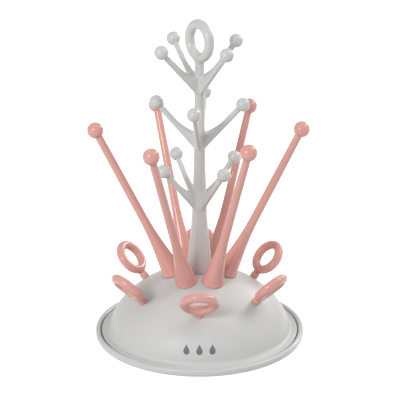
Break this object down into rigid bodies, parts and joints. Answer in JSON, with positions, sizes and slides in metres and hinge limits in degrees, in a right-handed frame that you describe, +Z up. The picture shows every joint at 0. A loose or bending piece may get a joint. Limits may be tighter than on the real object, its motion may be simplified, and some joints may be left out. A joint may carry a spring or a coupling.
{
  "type": "bottle drying rack",
  "caption": "Countertop drying rack: domed base in a drip tray, a tree of ball-tipped branches with a ring handle, leaning bottle posts and small accessory rings.",
  "frame": {"origin": "middle of the drip tray's underside, on the surface the rack stands on", "axes": "+Z up along the trunk, -Y towards the front of the rack, +X to the right as seen from the front"},
  "size_m": [0.215, 0.21, 0.321],
  "materials": {
    "grey_plastic": "satin light grey",
    "pink_plastic": "glossy old rose"
  },
  "bodies": {
    "tray": {"tray": "grey_plastic", "tray_rim": "grey_plastic"},
    "dome": {"dome": "grey_plastic", "dome_skirt": "grey_plastic"},
    "trunk_cone": {"trunk_cone": "grey_plastic"},
    "tier_low": {"tier_low": "grey_plastic"},
    "tier_middle": {"tier_middle": "grey_plastic"},
    "tier_top": {"tier_top": "grey_plastic"},
    "bottle_post_1": {"bottle_post_1": "pink_plastic"},
    "bottle_post_2": {"bottle_post_2": "pink_plastic"},
    "bottle_post_3": {"bottle_post_3": "pink_plastic"},
    "bottle_post_4": {"bottle_post_4": "pink_plastic"},
    "bottle_post_5": {"bottle_post_5": "pink_plastic"},
    "bottle_post_6": {"bottle_post_6": "pink_plastic"},
    "accessory_ring_1": {"accessory_ring_1": "pink_plastic"},
    "accessory_ring_2": {"accessory_ring_2": "pink_plastic"},
    "accessory_ring_3": {"accessory_ring_3": "pink_plastic"},
    "accessory_ring_4": {"accessory_ring_4": "pink_plastic"},
    "accessory_ring_5": {"accessory_ring_5": "pink_plastic"},
    "accessory_ring_6": {"accessory_ring_6": "pink_plastic"}
  },
  "joints": [
    {"name": "dome_lift", "type": "slide", "parent": "tray", "child": "dome", "axis": [0, 0, 1], "range_m": [0, 0.03]},
    {"name": "trunk_lift", "type": "slide", "parent": "dome", "child": "trunk_cone", "axis": [0, 0, 1], "range_m": [0, 0.02]},
    {"name": "tier_low_lift", "type": "slide", "parent": "trunk_cone", "child": "tier_low", "axis": [0, 0, 1], "range_m": [0, 0.016]},
    {"name": "tier_middle_lift", "type": "slide", "parent": "tier_low", "child": "tier_middle", "axis": [0, 0, 1], "range_m": [0, 0.016]},
    {"name": "tier_top_lift", "type": "slide", "parent": "tier_middle", "child": "tier_top", "axis": [0, 0, 1], "range_m": [0, 0.016]},
    {"name": "post_1_pull", "type": "slide", "parent": "dome", "child": "bottle_post_1", "axis": [0.4368, 0.0046, 0.8996], "range_m": [0, 0.02]},
    {"name": "post_2_pull", "type": "slide", "parent": "dome", "child": "bottle_post_2", "axis": [0.2283, 0.3815, 0.8957], "range_m": [0, 0.02]},
    {"name": "post_3_pull", "type": "slide", "parent": "dome", "child": "bottle_post_3", "axis": [-0.1863, 0.3705, 0.91], "range_m": [0, 0.02]},
    {"name": "post_4_pull", "type": "slide", "parent": "dome", "child": "bottle_post_4", "axis": [-0.4478, -0.0031, 0.8942], "range_m": [0, 0.02]},
    {"name": "post_5_pull", "type": "slide", "parent": "dome", "child": "bottle_post_5", "axis": [-0.1846, -0.3941, 0.9003], "range_m": [0, 0.02]},
    {"name": "post_6_pull", "type": "slide", "parent": "dome", "child": "bottle_post_6", "axis": [0.1911, -0.3609, 0.9128], "range_m": [0, 0.02]},
    {"name": "ring_1_pull", "type": "slide", "parent": "dome", "child": "accessory_ring_1", "axis": [0.5828, 0.3365, 0.7396], "range_m": [0, 0.014]},
    {"name": "ring_2_pull", "type": "slide", "parent": "dome", "child": "accessory_ring_2", "axis": [0, 0.673, 0.7396], "range_m": [0, 0.014]},
    {"name": "ring_3_pull", "type": "slide", "parent": "dome", "child": "accessory_ring_3", "axis": [-0.5828, 0.3365, 0.7396], "range_m": [0, 0.014]},
    {"name": "ring_4_pull", "type": "slide", "parent": "dome", "child": "accessory_ring_4", "axis": [-0.5828, -0.3365, 0.7396], "range_m": [0, 0.014]},
    {"name": "ring_5_pull", "type": "slide", "parent": "dome", "child": "accessory_ring_5", "axis": [0, -0.673, 0.7396], "range_m": [0, 0.014]},
    {"name": "ring_6_pull", "type": "slide", "parent": "dome", "child": "accessory_ring_6", "axis": [0.5828, -0.3365, 0.7396], "range_m": [0, 0.014]}
  ]
}
